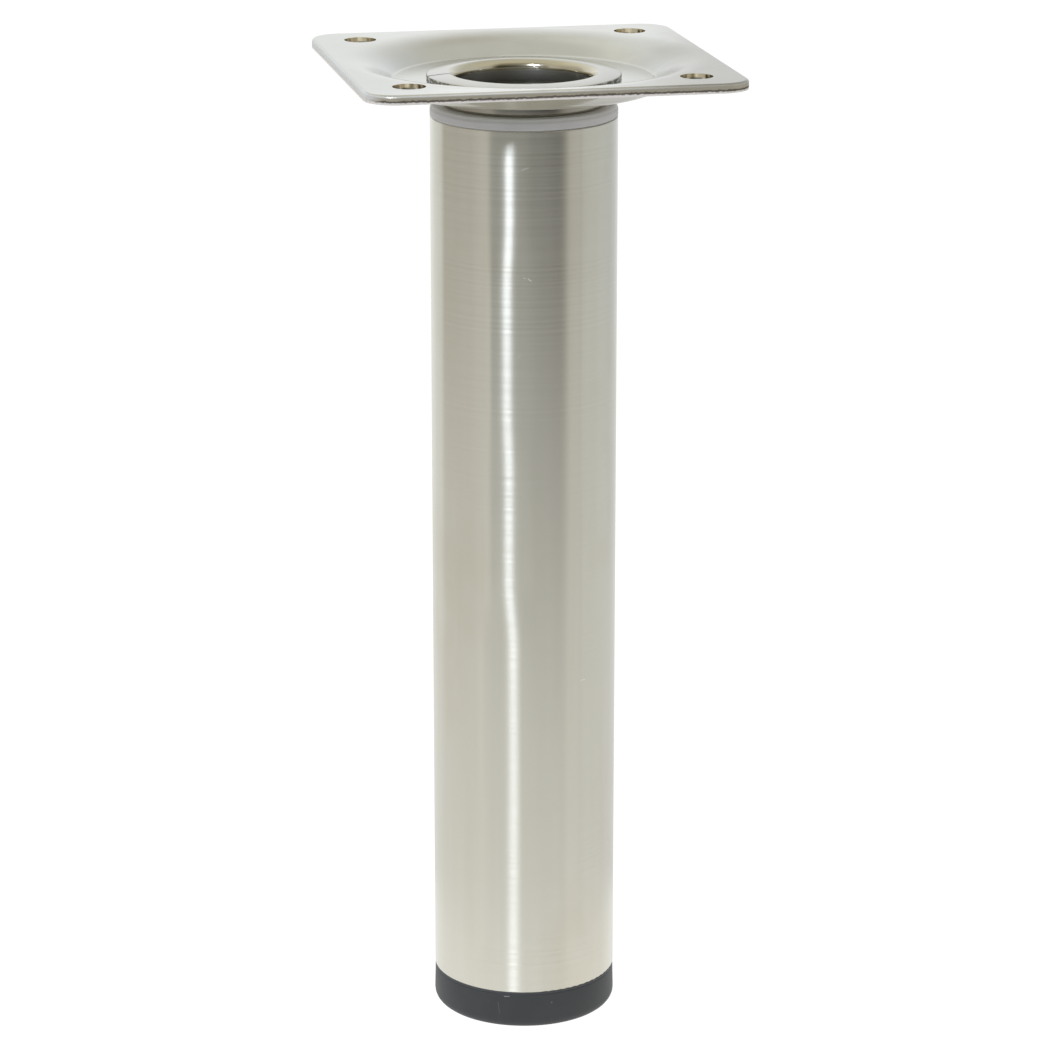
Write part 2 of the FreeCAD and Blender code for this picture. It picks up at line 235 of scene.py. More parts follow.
class Graph:
    """A node tree that is written as expressions."""

    def __init__(self, tree: bpy.types.NodeTree) -> None:
        """Empty the tree before it is filled."""
        self.tree = tree
        tree.nodes.clear()

    def node(
        self,
        kind: str,
        settings: Mapping[str, Any] | None = None,
        sockets: Mapping[str | int, Any] | None = None,
    ) -> bpy.types.Node:
        """Add one node.

        Args:
            kind: The node's type.
            settings: Its properties, with a ramp's colours under "stops".
            sockets: Values or links of its inputs, by name or number.

        Returns:
            The new node.
        """
        made = self.tree.nodes.new(kind)
        for name, setting in (settings or {}).items():
            if name == "stops":
                self._set_stops(made.color_ramp, setting)
            else:
                setattr(made, name, setting)
        for key, given in (sockets or {}).items():
            if isinstance(given, Value):
                self.tree.links.new(given.socket, made.inputs[key])
            else:
                made.inputs[key].default_value = given
        return made

    @staticmethod
    def _set_stops(ramp: bpy.types.ColorRamp, stops: Sequence[tuple[float, Colour]]) -> None:
        """Fill a colour ramp.

        Args:
            ramp: The ramp of a new node, which has two stops.
            stops: Position and colour of each stop, in order.
        """
        for _ in range(len(stops) - len(ramp.elements)):
            ramp.elements.new(0.5)
        for element, (position, colour) in zip(ramp.elements, stops):
            element.position = position
            element.color = colour

    def value(
        self,
        kind: str,
        settings: Mapping[str, Any] | None = None,
        sockets: Mapping[str | int, Any] | None = None,
        output: str | int = 0,
    ) -> Value:
        """Add one node and take one of its outputs.

        Args:
            kind: The node's type.
            settings: Its properties.
            sockets: Values or links of its inputs.
            output: Name or number of the output.

        Returns:
            That output.
        """
        return Value(self, self.node(kind, settings, sockets).outputs[output])

    def maths(self, operation: str, *terms: "Value | float") -> Value:
        """Add a Math node.

        Args:
            operation: What it works out.
            terms: Its inputs, in order.

        Returns:
            Its result.
        """
        return self.value("ShaderNodeMath", {"operation": operation}, dict(enumerate(terms)))

    def position(self) -> Value:
        """Give the point on the piece, in metres in the frame."""
        return self.value("ShaderNodeTexCoord", output="Object")

    def seen_directly(self) -> Value:
        """Tell rays from the camera, and those off metal or through glass, from diffuse ones."""
        path = self.node("ShaderNodeLightPath")
        rays = ("Is Camera Ray", "Is Glossy Ray", "Is Transmission Ray")
        return strongest(Value(self, path.outputs[ray]) for ray in rays)

    def finish_surface(self, sockets: Mapping[str, Any]) -> None:
        """End the tree in one physical surface.

        Args:
            sockets: Values or links of the surface's inputs.
        """
        surface = self.value("ShaderNodeBsdfPrincipled", None, sockets)
        self.node("ShaderNodeOutputMaterial", None, {"Surface": surface})


@dataclass(frozen=True)
class Pattern:
    """A noise pattern and its weights.

    Attributes:
        flat: Features to a metre across the leg.
        upright: Features to a metre along it.
        detail: How many finer layers it has.
        rough: How strong the finer layers are.
        tone: Its weight in a colour or a line.
        gloss: Its weight in the roughness.
        relief: Its weight in the bump.
    """

    flat: float
    upright: float
    detail: float = 2.0
    rough: float = 0.5
    tone: float = 0.0
    gloss: float = 0.0
    relief: float = 0.0

    def lay(self, point: Value) -> Value:
        """Lay the pattern on a piece.

        Args:
            point: The point on the piece.

        Returns:
            A value about the noise's middle.
        """
        scale = (self.flat, self.flat, self.upright)
        stretched = point.graph.value("ShaderNodeMapping", None, {"Vector": point, "Scale": scale})
        sockets = {"Vector": stretched, "Scale": 1.0, "Detail": self.detail, "Roughness": self.rough}
        return point.graph.value("ShaderNodeTexNoise", None, sockets)


class Finish:
    """A finish that dresses pieces with one material of its own."""

    name: str

    def material(self) -> bpy.types.Material:
        """Make the finish's material once, and give it again after that."""
        known = bpy.data.materials.get(self.name)
        if known is not None:
            return known
        made = bpy.data.materials.new(self.name)
        made.use_nodes = True
        self.fill(Graph(made.node_tree))
        return made

    def fill(self, graph: Graph) -> None:
        """Write the finish into a new material's tree."""
        raise NotImplementedError

    def dress(self, piece: bpy.types.Object) -> None:
        """Put the finish on a piece."""
        if not piece.material_slots:
            piece.data.materials.append(self.material())
        for slot in piece.material_slots:
            slot.material = self.material()


@dataclass(frozen=True)
class Scratch:
    """A fine scratch on a round piece, in millimetres and degrees.

    It fades over the given shares of its length and blurs over those of its width.
    """

    bearing: float
    height: float
    length: float
    slope: float
    width: float = 0.06
    strength: float = 0.5
    fade: Span = (0.35, 0.5)
    blur: Span = (0.3, 1.0)

    def mark(self, point: Value, radius: float) -> Value:
        """Draw the scratch on the unrolled piece.

        Args:
            point: The point on the piece.
            radius: The piece's radius in millimetres.

        Returns:
            The scratch's strength on it, 0 elsewhere.
        """
        _, _, up = point.split()
        sideways = (point.around() - math.radians(self.bearing)) * (radius * MM)
        upwards = up - self.height * MM
        turn = math.radians(self.slope)
        run = sideways * math.cos(turn) + upwards * math.sin(turn)
        off = upwards * math.cos(turn) - sideways * math.sin(turn)
        along = abs(run).fall(self.fade, self.length * MM)
        return along * abs(off).fall(self.blur, self.width * MM) * self.strength


@dataclass(frozen=True)
class Lean:
    """A stretch of the tube over which its weld's flat changes slope, in millimetres."""

    span: Span
    change: float


@dataclass(frozen=True)
class BrushedStainless(Finish):
    """Stainless tube brushed round its axis."""

    name: str = "brushed_stainless_tube"
    radius: float = TUBE_RADIUS
    dark: Colour = opaque(0.57, 0.555, 0.475)
    light: Colour = opaque(0.75, 0.735, 0.645)
    handled: Colour = opaque(0.60, 0.565, 0.465)
    bright: Colour = opaque(0.90, 0.89, 0.86)
    roughness: float = 0.232
    anisotropy: float = 1.0
    across_brushing: float = 0.25
    fine: Pattern = Pattern(7.0, 2300.0, tone=0.40, gloss=0.12, relief=0.8)
    coarse: Pattern = Pattern(4.0, 1300.0, tone=0.08, gloss=0.02, relief=0.2)
    streak: Pattern = Pattern(420.0, 9.0, tone=0.34)
    smear: Pattern = Pattern(42.0, 26.0, 3.0, 0.55, gloss=0.03)
    uneven: Pattern = Pattern(38.0, 14.0, 1.0)
    smear_span: Span = (0.48, 0.72)
    smear_share: float = 0.60
    scratch_dulling: float = 0.8
    line_height: float = 2.0e-5
    line_strength: float = 0.05
    wave_height: float = 3.0e-4
    weld_bearing: float = -111.2
    weld_edge: Span = (0.12, 0.34)
    weld_slope: float = 0.039
    weld_leans: tuple[Lean, ...] = (
        Lean((66.0, 78.0), -0.045),
        Lean((94.0, 108.0), -0.022),
        Lean((124.0, 138.0), 0.028),
    )
    scratches: tuple[Scratch, ...] = (
        Scratch(-101.1, 145.0, 1.4, 20.0),
        Scratch(-98.3, 127.3, 0.8, -40.0),
        Scratch(-101.5, 127.6, 0.5, -20.0),
        Scratch(-109.5, 126.2, 0.8, 35.0),
        Scratch(-104.9, 114.9, 0.5, 10.0),
        Scratch(-62.0, 60.0, 1.1, 8.0),
        Scratch(35.0, 101.0, 1.6, -12.0),
        Scratch(140.0, 48.0, 1.2, 25.0),
    )

    def weld_flat(self, point: Value) -> Value:
        """Shape the faint flat that runs up the tube along its weld and leans to and fro.

        Args:
            point: The point on the tube.

        Returns:
            The height of the flat in metres.
        """
        _, _, up = point.split()
        aside = point.around() - math.radians(self.weld_bearing)
        slope: Value | float = self.weld_slope
        for lean in self.weld_leans:
            slope = slope + up.rise(lean.span, MM) * lean.change
        return slope * aside * (self.radius * MM) * abs(aside).fall(self.weld_edge)

    def fill(self, graph: Graph) -> None:
        """Lay fine lines round the tube, smears of handling, a few scratches and the weld's flat."""
        point = graph.position()
        fine = self.fine.lay(point)
        coarse = self.coarse.lay(point)
        streak = self.streak.lay(point)
        smear = self.smear.lay(point)
        tone = fine.sway(self.fine.tone) + coarse.sway(self.coarse.tone) + streak.sway(self.streak.tone)
        metal = (NOISE_MIDDLE + tone).mix(self.dark, self.light)
        stained = (smear.rise(self.smear_span) * self.smear_share).mix(metal, self.handled)
        scored = strongest(scratch.mark(point, self.radius) for scratch in self.scratches)
        gloss = fine.sway(self.fine.gloss) + coarse.sway(self.coarse.gloss) + smear.sway(self.smear.gloss)
        relief = fine * self.fine.relief + coarse * self.coarse.relief
        lines = relief.bump(self.line_height, self.line_strength)
        waved = self.uneven.lay(point).bump(self.wave_height, under=lines)
        graph.finish_surface({
            "Base Color": scored.mix(stained, self.bright),
            "Metallic": 1.0 - scored * self.scratch_dulling,
            "Roughness": self.roughness + gloss,
            "Anisotropic": self.anisotropy,
            "Anisotropic Rotation": self.across_brushing,
            "Normal": self.weld_flat(point).bump(METRE, under=waved),
        })


@dataclass(frozen=True, kw_only=True)
class PlatedSteel(Finish):
    """Pressed plate with bright nickel on it and a sheared edge, in millimetres.

    On the edge, heights are shares of the sheet, from 0 at its lower side to 1 at the upper one.
    """

    half_side: float
    corner: float
    top: float
    sheet: float
    hole_offset: float
    hole_radius: float
    name: str = "plated_plate"
    nickel: Colour = opaque(0.70, 0.712, 0.695)
    # Painted highlight: lighter nickel toward the front of the plate.
    painted_front_highlight: Colour = opaque(0.82, 0.83, 0.81)
    dull: Colour = opaque(0.665, 0.66, 0.635)
    # Painted shade: darker nickel over the plate's right side.
    right_painted_shade: Colour = opaque(0.385, 0.38, 0.35)
    # Painted shade: part of it darkens the plate's left side.
    left_painted_shade: Colour = opaque(0.57, 0.585, 0.57)
    # Painted reflection: a light, warm tint on the walls of the screw holes.
    hole_wall_reflection: Colour = opaque(0.80, 0.745, 0.62)
    # Painted shade: a darker colour on faces that point down.
    under: Colour = opaque(0.47, 0.46, 0.41)
    burnish: Colour = opaque(0.35, 0.315, 0.235)
    lip: Colour = opaque(0.60, 0.56, 0.50)
    torn: Colour = opaque(0.080, 0.066, 0.048)
    cloud: Pattern = Pattern(70.0, 70.0, 4.0, 0.6, gloss=0.10)
    pits: Pattern = Pattern(1500.0, 1500.0, relief=0.35)
    drawn: Pattern = Pattern(900.0, 120.0, gloss=0.05, relief=0.25)
    ragged: Pattern = Pattern(1700.0, 1700.0, 3.0, 0.65, tone=0.36, relief=2.5)
    wander: Pattern = Pattern(60.0, 60.0, 1.0, tone=0.15)
    dull_span: Span = (0.35, 0.75)
    front_highlight_span: Span = (23.5, 27.5)
    right_span: Span = (12.0, 34.0)
    right_lean: float = 0.35
    right_wander: float = 10.0
    left_span: Span = (-27.0, -17.0)
    left_share: float = 0.65
    under_span: Span = (-0.3, 0.0)
    edge_span: Span = (-0.16, -0.05)
    wall_span: Span = (0.02, 0.10)
    tear_height: float = 0.31
    tear_span: Span = (0.05, 0.16)
    lip_span: Span = (-0.05, 0.05)
    shaved_span: Span = (0.66, 0.92)
    smooth_side: Span = (-29.8, -27.5)
    least_torn: float = 0.12
    least_shaved: float = 0.15
    edge_dulling: float = 0.6
    lip_dulling: float = 0.25
    roughness: float = 0.17
    edge_roughness: float = 0.22
    torn_roughness: float = 0.30
    wall_polish: float = 0.07
    relief_height: float = 2.0e-5
    relief_strength: float = 0.10

    def edge_share(self, point: Value) -> Value:
        """Find the sheared edge by its distance from the plate's outline.

        Args:
            point: The point on the plate.

        Returns:
            1 on the edge, 0 on the sheet.
        """
        east, north, _ = point.split()
        straight = (self.half_side - self.corner) * MM
        out_x = abs(east) - straight
        out_y = abs(north) - straight
        beyond = length(out_x.most(0.0), out_y.most(0.0)) + out_x.most(out_y).least(0.0)
        return (beyond - self.corner * MM).rise(self.edge_span, MM)

    def hole_share(self, point: Value) -> Value:
        """Find the walls of the screw holes: 1 on them, 0 elsewhere."""
        east, north, _ = point.split()
        offset = self.hole_offset * MM
        away = length(abs(east) - offset, abs(north) - offset) - self.hole_radius * MM
        return away.fall(self.wall_span, MM)

    def height_on_edge(self, point: Value) -> Value:
        """Give the height on the edge as a share of the sheet."""
        _, _, up = point.split()
        return (up - (self.top - self.sheet) * MM) / (self.sheet * MM)

    def sheet_colour(self, graph: Graph, point: Value, cloud: Value, holed: Value) -> Value:
        """Colour the sheet: a painted highlight in front, painted shade at both sides and painted shade
        underneath.

        Args:
            graph: The tree that it is written in.
            point: The point on the plate.
            cloud: The cloudiness of the plating.
            holed: 1 on the walls of the screw holes.

        Returns:
            The colour without the edge.
        """
        east, north, _ = point.split()
        # Painted highlight toward the front.
        front_highlighted = (-north).rise(self.front_highlight_span, MM).mix(self.nickel, self.painted_front_highlight)
        bright = cloud.rise(self.dull_span).mix(front_highlighted, self.dull)
        # Painted shade over the right side, with a wandering edge.
        toward = east - north * self.right_lean + cloud.sway(self.right_wander * MM)
        right_shaded = toward.rise(self.right_span, MM).mix(bright, self.right_painted_shade)
        # Painted shade over the left side.
        left = east.fall(self.left_span, MM) * self.left_share
        # Painted reflection on the walls of the screw holes.
        above = holed.mix(left.mix(right_shaded, self.left_painted_shade), self.hole_wall_reflection)
        # Painted shade on the underside.
        _, _, facing = graph.value("ShaderNodeNewGeometry", output="Normal").split()
        return facing.fall(self.under_span).mix(above, self.under)

    def fill(self, graph: Graph) -> None:
        """Blend the plated sheet, its burnished edge, the lip below and the torn line between them."""
        point = graph.position()
        east, _, _ = point.split()
        cloud = self.cloud.lay(point)
        drawn = self.drawn.lay(point)
        ragged = self.ragged.lay(point)
        wander = self.wander.lay(point)
        edge = self.edge_share(point)
        holed = self.hole_share(point)
        height = self.height_on_edge(point)
        above = height - (self.tear_height + ragged.sway(self.ragged.tone) + wander.sway(self.wander.tone))
        rough_side = east.rise(self.smooth_side, MM).raised(self.least_torn)
        torn = abs(above).fall(self.tear_span) * edge * rough_side
        lower = above.fall(self.lip_span) * edge
        shaved = edge * rough_side.raised(self.least_shaved) * height.fall(self.shaved_span)
        sheared = shaved.mix(self.sheet_colour(graph, point, cloud, holed), self.burnish)
        lipped = lower.mix(sheared, self.lip)
        rough = self.roughness + cloud.sway(self.cloud.gloss) + drawn.sway(self.drawn.gloss)
        worn = edge * self.edge_roughness + torn * self.torn_roughness - holed * self.wall_polish
        pitted = self.pits.lay(point) * self.pits.relief + drawn * self.drawn.relief
        relief = pitted + ragged * lower * self.ragged.relief
        graph.finish_surface({
            "Base Color": torn.mix(lipped, self.torn),
            "Metallic": 1.0 - edge * self.edge_dulling - lower * self.lip_dulling,
            "Roughness": rough + worn,
            "Normal": relief.bump(self.relief_height, self.relief_strength),
        })


@dataclass(frozen=True, kw_only=True)
class PlatedSleeve(Finish):
    """Rolled sleeve with bright nickel on it, in millimetres.

    The spans of rim, warm painted reflection, bare and shaded bore, and bead are offsets from the radius
    or height they belong to.
    """

    flange: float
    bore: float
    bead: float
    bead_top: float
    name: str = "plated_rolled_sleeve"
    nickel: Colour = opaque(0.60, 0.60, 0.575)
    dull: Colour = opaque(0.55, 0.545, 0.52)
    # Painted shade: darker nickel over the sleeve's right side.
    right_shaded: Colour = opaque(0.51, 0.51, 0.485)
    # Painted reflection: a warm tint round the mouth of the bore.
    warm_reflection: Colour = opaque(0.64, 0.60, 0.47)
    # Painted reflection: brown on the bead's face.
    painted_tone: Colour = opaque(0.43, 0.405, 0.345)
    sheared: Colour = opaque(0.17, 0.155, 0.13)
    # Bare steel down the bore, darkened further as painted shade inside it.
    bare_and_shaded: Colour = opaque(0.41, 0.405, 0.375)
    cloud: Pattern = Pattern(110.0, 110.0, 4.0, 0.6, gloss=0.12)
    rolled: Pattern = Pattern(120.0, 2600.0, gloss=0.06, relief=0.6)
    pits: Pattern = Pattern(1800.0, 1800.0, relief=0.4)
    ragged: Pattern = Pattern(900.0, 900.0, 3.0, 0.65)
    dull_span: Span = (0.4, 0.8)
    ragged_span: Span = (0.38, 0.58)
    right_shade_from: Span = (6.0, 14.0)
    bare_below: Span = (156.0, 156.8)
    rim_offsets: Span = (-0.10, -0.03)
    warm_reflection_offsets: Span = (0.5, 1.3)
    bare_offsets: Span = (0.2, 0.4)
    bead_offsets: Span = (-0.6, -0.2)
    bead_top_offsets: Span = (-0.2, 0.0)
    roughness: float = 0.15
    bare_roughness: float = 0.18
    rim_roughness: float = 0.25
    bead_roughness: float = 0.10
    relief_height: float = 2.0e-5
    relief_strength: float = 0.08

    def fill(self, graph: Graph) -> None:
        """Lay marks of rolling and clouds, a painted warm reflection at the mouth, a painted brown
        reflection on the bead, a sheared rim and a bore of bare steel with painted shade.
        """
        point = graph.position()
        east, north, up = point.split()
        reach = length(east, north)
        cloud = self.cloud.lay(point)
        rolled = self.rolled.lay(point)
        ragged = self.ragged.lay(point).rise(self.ragged_span)
        rim = reach.rise(beside(self.flange, self.rim_offsets), MM) * ragged
        # Painted warm reflection round the mouth.
        mouth = reach.fall(beside(self.bore, self.warm_reflection_offsets), MM)
        below = up.fall(beside(self.bead_top, self.bead_top_offsets), MM)
        bead = reach.rise(beside(self.bead, self.bead_offsets), MM) * below
        # The bore below the mouth: bare steel and painted shade.
        inside = reach.fall(beside(self.bore, self.bare_offsets), MM) * up.fall(self.bare_below, MM)
        clean = cloud.rise(self.dull_span).mix(self.nickel, self.dull)
        # Painted shade over the right side.
        plated = east.rise(self.right_shade_from, MM).mix(clean, self.right_shaded)
        # Painted brown reflection on the bead.
        tinted = bead.mix(mouth.mix(plated, self.warm_reflection), self.painted_tone)
        edged = rim.mix(tinted, self.sheared)
        rough = self.roughness + cloud.sway(self.cloud.gloss) + rolled.sway(self.rolled.gloss)
        worn = inside * self.bare_roughness + rim * self.rim_roughness + bead * self.bead_roughness
        relief = self.pits.lay(point) * self.pits.relief + rolled * self.rolled.relief
        graph.finish_surface({
            "Base Color": inside.mix(edged, self.bare_and_shaded),
            "Metallic": 1.0,
            "Roughness": rough + worn,
            "Normal": relief.bump(self.relief_height, self.relief_strength),
        })


@dataclass(frozen=True, kw_only=True)
class MouldedPlastic(Finish):
    """Moulded plastic with a fine grain and faint mottling, in millimetres."""

    name: str
    plain: Colour
    mottled: Colour
    dust: Colour
    roughness: float
    grain_strength: float
    dusty: float = 0.0
    radius: float = TUBE_RADIUS
    # Nicks, and painted glints drawn the same way.
    nicks_and_glints: tuple[Scratch, ...] = ()
    # Painted light: a lighter band round the top, against the shade that falls there.
    painted_light_above: Span | None = None
    painted_tone: Colour = opaque(0.90, 0.90, 0.875)
    mottle: Pattern = Pattern(160.0, 160.0, 4.0, 0.6, gloss=0.16, relief=0.3)
    grain: Pattern = Pattern(2600.0, 2600.0, 2.0, 0.6, gloss=0.06, relief=0.7)
    dust_patches: Pattern = Pattern(90.0, 90.0, 1.0)
    mottle_span: Span = (0.3, 0.75)
    patch_span: Span = (0.60, 0.68)
    speck_span: Span = (0.05, 0.13)
    speck_scale: float = 420.0
    relief_height: float = 4.0e-5

    def fill(self, graph: Graph) -> None:
        """Lay the mould's grain, a faint mottle, a painted light band at the top, a little dust, and a few
        nicks and painted glints.
        """
        point = graph.position()
        mottle = self.mottle.lay(point)
        grain = self.grain.lay(point)
        colour = mottle.rise(self.mottle_span).mix(self.plain, self.mottled)
        # Painted light on the top band.
        if self.painted_light_above is not None:
            _, _, up = point.split()
            colour = up.rise(self.painted_light_above, MM).mix(colour, self.painted_tone)
        cells = {"Vector": point, "Scale": self.speck_scale, "Randomness": 1.0}
        specks = graph.value("ShaderNodeTexVoronoi", None, cells, "Distance").fall(self.speck_span)
        dusted = specks * self.dust_patches.lay(point).rise(self.patch_span) * self.dusty
        # Nicks and painted glints.
        nicks_and_glints_marked = [nick.mark(point, self.radius) for nick in self.nicks_and_glints]
        gloss = mottle.sway(self.mottle.gloss) + grain.sway(self.grain.gloss)
        relief = grain * self.grain.relief + mottle * self.mottle.relief
        graph.finish_surface({
            "Base Color": strongest([dusted, *nicks_and_glints_marked]).mix(colour, self.dust),
            "Roughness": self.roughness + gloss,
            "Normal": relief.bump(self.relief_height, self.grain_strength),
        })


PALE_PLASTIC = MouldedPlastic(
    name="pale_collar_plastic",
    plain=opaque(0.475, 0.465, 0.445),
    mottled=opaque(0.505, 0.495, 0.475),
    dust=opaque(0.75, 0.74, 0.72),
    roughness=0.40,
    grain_strength=0.06,
    # Painted light on the collar's top, which lies in the plate's shade.
    painted_light_above=(152.15, 152.65),
)
BLACK_PLASTIC = MouldedPlastic(
    name="black_foot_plastic",
    plain=opaque(0.0195, 0.0215, 0.0213),
    mottled=opaque(0.0265, 0.029, 0.0285),
    dust=opaque(0.40, 0.40, 0.39),
    roughness=0.52,
    grain_strength=0.22,
    dusty=0.5,
    radius=PAD_RADIUS,
    # A painted highlight on the pad's top edge, its faint painted reflection below it, then two nicks.
    nicks_and_glints=(
        Scratch(-112.9, 5.75, 1.1, 2.0, 0.09, 0.55),
        Scratch(-118.0, 3.6, 2.6, 98.0, 0.09, 0.10),
        Scratch(-84.0, 4.5, 0.3, 20.0, 0.10, 0.30),
        Scratch(60.0, 3.1, 1.8, 75.0, 0.09, 0.12),
    ),
)
BLACK_BUSH = MouldedPlastic(
    name="black_bush_plastic",
    plain=opaque(0.030, 0.032, 0.034),
    mottled=opaque(0.038, 0.040, 0.042),
    dust=opaque(0.25, 0.25, 0.24),
    roughness=0.46,
    grain_strength=0.12,
)


def link(name: str, data: bpy.types.ID) -> bpy.types.Object:
    """Put a new object into the scene."""
    made = bpy.data.objects.new(name, data)
    bpy.context.scene.collection.objects.link(made)
    return made


def stand(name: str, mesh: bmesh.types.BMesh) -> bpy.types.Object:
    """Make an object of a mesh, which is freed."""
    data = bpy.data.meshes.new(name)
    mesh.to_mesh(data)
    mesh.free()
    return link(name, data)


def spin(mesh: bmesh.types.BMesh, angle: float, steps: int, closed: bool) -> None:
    """Turn all that a mesh holds about the leg's axis.

    Args:
        mesh: The mesh that holds the section.
        angle: How far it turns, in radians.
        steps: In how many steps.
        closed: Whether the end is joined to the start.
    """
    bmesh.ops.spin(
        mesh,
        geom=[*mesh.verts, *mesh.edges, *mesh.faces],
        cent=ORIGIN,
        axis=UPWARDS,
        angle=angle,
        steps=steps,
        use_merge=closed,
    )


def place_round(bearing: float, distance: float, height: float) -> Vector:
    """Give a place round the leg.

    Args:
        bearing: Angle from the front in degrees.
        distance: Distance from the axis in metres.
        height: Height in metres.

    Returns:
        The place.
    """
    angle = math.radians(bearing)
    place = Vector((math.sin(angle), -math.cos(angle), 0.0)) * distance
    place.z = height
    return place


@dataclass(frozen=True)
class Corner:
    """A corner of a turned section, in millimetres from the axis and from the foot's underside."""

    radius: float
    height: float
    rounding: float = 0.0


@dataclass(frozen=True)
class Thread:
    """A right-hand thread cut or rolled inwards from its crest, in millimetres."""

    pitch: float
    depth: float
    low: float
    high: float
    run_out: float
    flat: float = 0.0

    def depth_at(self, bearing: float, height: float) -> float:
        """Give how far the surface lies below the crest.

        Args:
            bearing: Angle round the axis in radians.
            height: Height in millimetres.

        Returns:
            The depth in millimetres, 0 outside the thread.
        """
        inside = min(height - self.low, self.high - height) / self.run_out
        if inside <= 0.0:
            return 0.0
        phase = height / self.pitch - bearing / FULL_TURN
        wave = 0.5 - 0.5 * math.cos(FULL_TURN * phase)
        shaped = min(1.0, max(0.0, (wave - 0.5) * (1.0 + self.flat) + 0.5))
        return self.depth * shaped * min(1.0, inside)


@dataclass
class TurnedPiece:
    """A piece of round section that is spun about the leg's axis, in millimetres and degrees."""

    name: str
    steps: int = 120
    round_segments: int = 6
    round_profile: float = 0.5
    sharp_angle: float = 32.0
    upright_within: float = 0.01
    axis_within: float = 0.001
    merge_within: float = 0.0005
    waste_within: float = 0.0002
    mesh: bmesh.types.BMesh = field(default_factory=bmesh.new)

    def draw(self, corners: Sequence[Corner]) -> None:
        """Draw the section as one face and round its corners.

        Args:
            corners: The section's corners, in order.
        """
        points = [self.mesh.verts.new((c.radius * MM, 0.0, c.height * MM)) for c in corners]
        self.mesh.faces.new(points)
        for point, corner in zip(points, corners):
            if corner.rounding:
                bmesh.ops.bevel(
                    self.mesh,
                    geom=[point],
                    offset=corner.rounding * MM,
                    segments=self.round_segments,
                    profile=self.round_profile,
                    affect="VERTICES",
                    material=-1,
                )

    def divide(self, thread: Thread, longest: float) -> None:
        """Divide the long upright edges of the section finely enough for a thread.

        Args:
            thread: The thread.
            longest: Longest edge that is left, in millimetres.
        """
        for edge in list(self.mesh.edges):
            start, end = edge.verts
            upright = abs(start.co.x - end.co.x) < self.upright_within * MM
            low, high = sorted((start.co.z / MM, end.co.z / MM))
            if upright and low < thread.high and high > thread.low and edge.calc_length() > longest * MM:
                cuts = math.ceil(edge.calc_length() / (longest * MM)) - 1
                bmesh.ops.subdivide_edges(self.mesh, edges=[edge], cuts=cuts)

    def spin_whole(self) -> None:
        """Turn the section's outline once round and close it on itself."""
        bmesh.ops.delete(self.mesh, geom=list(self.mesh.faces), context="FACES_ONLY")
        near = self.axis_within * MM
        on_axis = [edge for edge in self.mesh.edges if max(vertex.co.x for vertex in edge.verts) < near]
        bmesh.ops.delete(self.mesh, geom=on_axis, context="EDGES")
        spin(self.mesh, FULL_TURN, self.steps, closed=True)

    def spin_split(self, bearing: float, gap: float) -> None:
        """Turn the section nearly once round, with a closed end at each side of a seam.

        Args:
            bearing: Angle of the seam in radians.
            gap: Angle that the seam leaves open, in radians.
        """
        start = Matrix.Rotation(bearing + 0.5 * gap, 3, "Z")
        bmesh.ops.rotate(self.mesh, verts=list(self.mesh.verts), cent=ORIGIN, matrix=start)
        spin(self.mesh, FULL_TURN - gap, self.steps, closed=False)

    def roll(self, thread: Thread, within: Span) -> None:
        """Press a thread into the turned surface.

        Args:
            thread: The thread.
            within: Smallest and largest radius that it reaches, in millimetres.
        """
        for vertex in self.mesh.verts:
            reach = math.hypot(vertex.co.x, vertex.co.y) / MM
            if within[0] <= reach <= within[1]:
                bearing = math.atan2(vertex.co.y, vertex.co.x)
                depth = thread.depth_at(bearing, vertex.co.z / MM)
                vertex.co.x *= (reach - depth) / reach
                vertex.co.y *= (reach - depth) / reach

    def make(self) -> bpy.types.Object:
        """Clean the mesh, shade it and put it into the scene."""
        bmesh.ops.remove_doubles(self.mesh, verts=list(self.mesh.verts), dist=self.merge_within * MM)
        bmesh.ops.dissolve_degenerate(self.mesh, edges=list(self.mesh.edges), dist=self.waste_within * MM)
        bmesh.ops.recalc_face_normals(self.mesh, faces=list(self.mesh.faces))
        for face in self.mesh.faces:
            face.smooth = True
        for edge in self.mesh.edges:
            if edge.is_manifold:
                edge.smooth = edge.calc_face_angle() < math.radians(self.sharp_angle)
        return stand(self.name, self.mesh)


